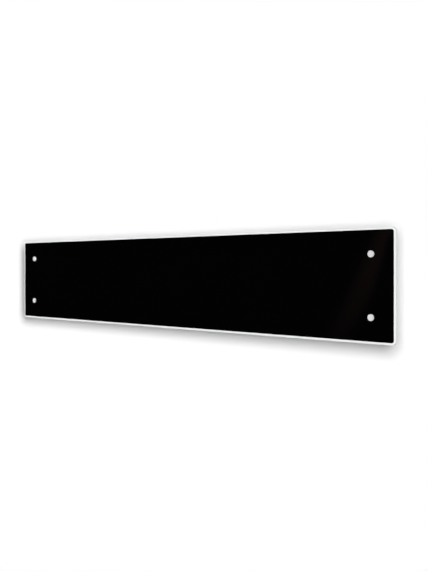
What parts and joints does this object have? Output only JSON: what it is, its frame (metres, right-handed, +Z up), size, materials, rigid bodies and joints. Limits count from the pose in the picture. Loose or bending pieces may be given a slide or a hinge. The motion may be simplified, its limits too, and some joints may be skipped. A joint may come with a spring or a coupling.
{
  "type": "glass panel heater",
  "caption": "Long low wall-hung electric panel heater with a black glass front on four round caps, a slotted steel casing, top controls and a tilting wall bracket",
  "frame": {"origin": "centre of the wall bracket's four screw holes, on the wall plane", "axes": "+X to the right along the panel as seen from the room, +Y into the wall, +Z up"},
  "size_m": [1.15, 0.093, 0.22],
  "materials": {
    "black_glass": "gloss black print behind clear glass, ground pale margin",
    "satin_steel": "spun satin stainless steel",
    "clear_nylon": "natural nylon",
    "black_rubber": "moulded silicone rubber",
    "plain_aluminium": "mill finish",
    "casing_paint": "white powder coat",
    "zinc_steel": "zinc plated sheet",
    "fastener_steel": "bright zinc plated",
    "spring_steel": "blued spring steel",
    "element_steel": "heat toned steel tube",
    "white_ceramic": "unglazed steatite",
    "brown_lead": "silicone insulation",
    "blue_lead": "silicone insulation",
    "earth_lead": "green and yellow insulation",
    "black_plastic": "fine moulded texture",
    "button_plastic": "satin moulded",
    "rocker_plastic": "gloss moulded",
    "display_window": "smoked window",
    "component_plastic": "moulded component cases",
    "grey_terminal": "polyamide",
    "circuit_board": "green solder mask"
  },
  "bodies": {
    "wall_bracket": {"bracket_arm_left": "zinc_steel", "bracket_arm_right": "zinc_steel", "bracket_rail": "zinc_steel", "catch_spring_left": "spring_steel", "catch_spring_right": "spring_steel", "catch_rivets": "fastener_steel"},
    "heater": {"front_glass": "black_glass", "cap_bolts": "satin_steel", "glass_bushes": "clear_nylon", "board_posts": "clear_nylon", "wire_clips": "clear_nylon", "glass_gaskets": "black_rubber", "rear_bumpers": "black_rubber", "partition_grommets": "black_rubber", "standoff_posts": "plain_aluminium", "element_fins": "plain_aluminium", "heat_shield": "plain_aluminium", "front_cover": "casing_paint", "rear_casing": "casing_paint", "end_cap_left": "casing_paint", "end_cap_right": "casing_paint", "pivot_lug_left": "zinc_steel", "pivot_lug_right": "zinc_steel", "partition_plate": "zinc_steel", "element_holder_left": "zinc_steel", "element_holder_right": "zinc_steel", "cutout_bracket": "zinc_steel", "standoff_screws": "fastener_steel", "cover_screws": "fastener_steel", "pivot_pins": "fastener_steel", "earth_screw": "fastener_steel", "element_terminals": "fastener_steel", "element_rod": "element_steel", "ceramic_bushes": "white_ceramic", "wire_feed": "brown_lead", "wire_link": "brown_lead", "wire_mains": "brown_lead", "wire_return": "blue_lead", "wire_earth": "earth_lead", "control_bezel": "black_plastic", "cable_gland": "black_plastic", "gland_nut": "black_plastic", "switch_frame": "black_plastic", "room_sensor": "black_plastic", "thermal_cutout": "black_plastic", "display_module": "black_plastic", "display_lens": "display_window", "relay": "component_plastic", "transformer": "component_plastic", "capacitor": "component_plastic", "tact_switches": "component_plastic", "terminal_block": "grey_terminal", "power_board": "circuit_board", "button_board": "circuit_board", "radio_module": "circuit_board"},
    "minus_button": {"button_minus": "button_plastic"},
    "ok_button": {"button_ok": "button_plastic"},
    "plus_button": {"button_plus": "button_plastic"},
    "power_rocker": {"switch_rocker": "rocker_plastic"}
  },
  "joints": [
    {"name": "panel_tilt", "type": "hinge", "parent": "wall_bracket", "child": "heater", "pos_m": [0, -0.01, -0.092], "axis": [1, 0, 0], "range_deg": [0, 18], "deforming": ["catch_spring_left", "catch_spring_right"]},
    {"name": "minus_press", "type": "slide", "parent": "heater", "child": "minus_button", "axis": [0, 0, -1], "range_m": [0, 0.0006], "stiffness_N_per_m": 300, "springref_m": -0.001},
    {"name": "ok_press", "type": "slide", "parent": "heater", "child": "ok_button", "axis": [0, 0, -1], "range_m": [0, 0.0006], "stiffness_N_per_m": 300, "springref_m": -0.001},
    {"name": "plus_press", "type": "slide", "parent": "heater", "child": "plus_button", "axis": [0, 0, -1], "range_m": [0, 0.0006], "stiffness_N_per_m": 300, "springref_m": -0.001},
    {"name": "power_rock", "type": "hinge", "parent": "heater", "child": "power_rocker", "pos_m": [0.5378, -0.0466, 0.02], "axis": [0, 1, 0], "range_deg": [-18, 0]}
  ]
}
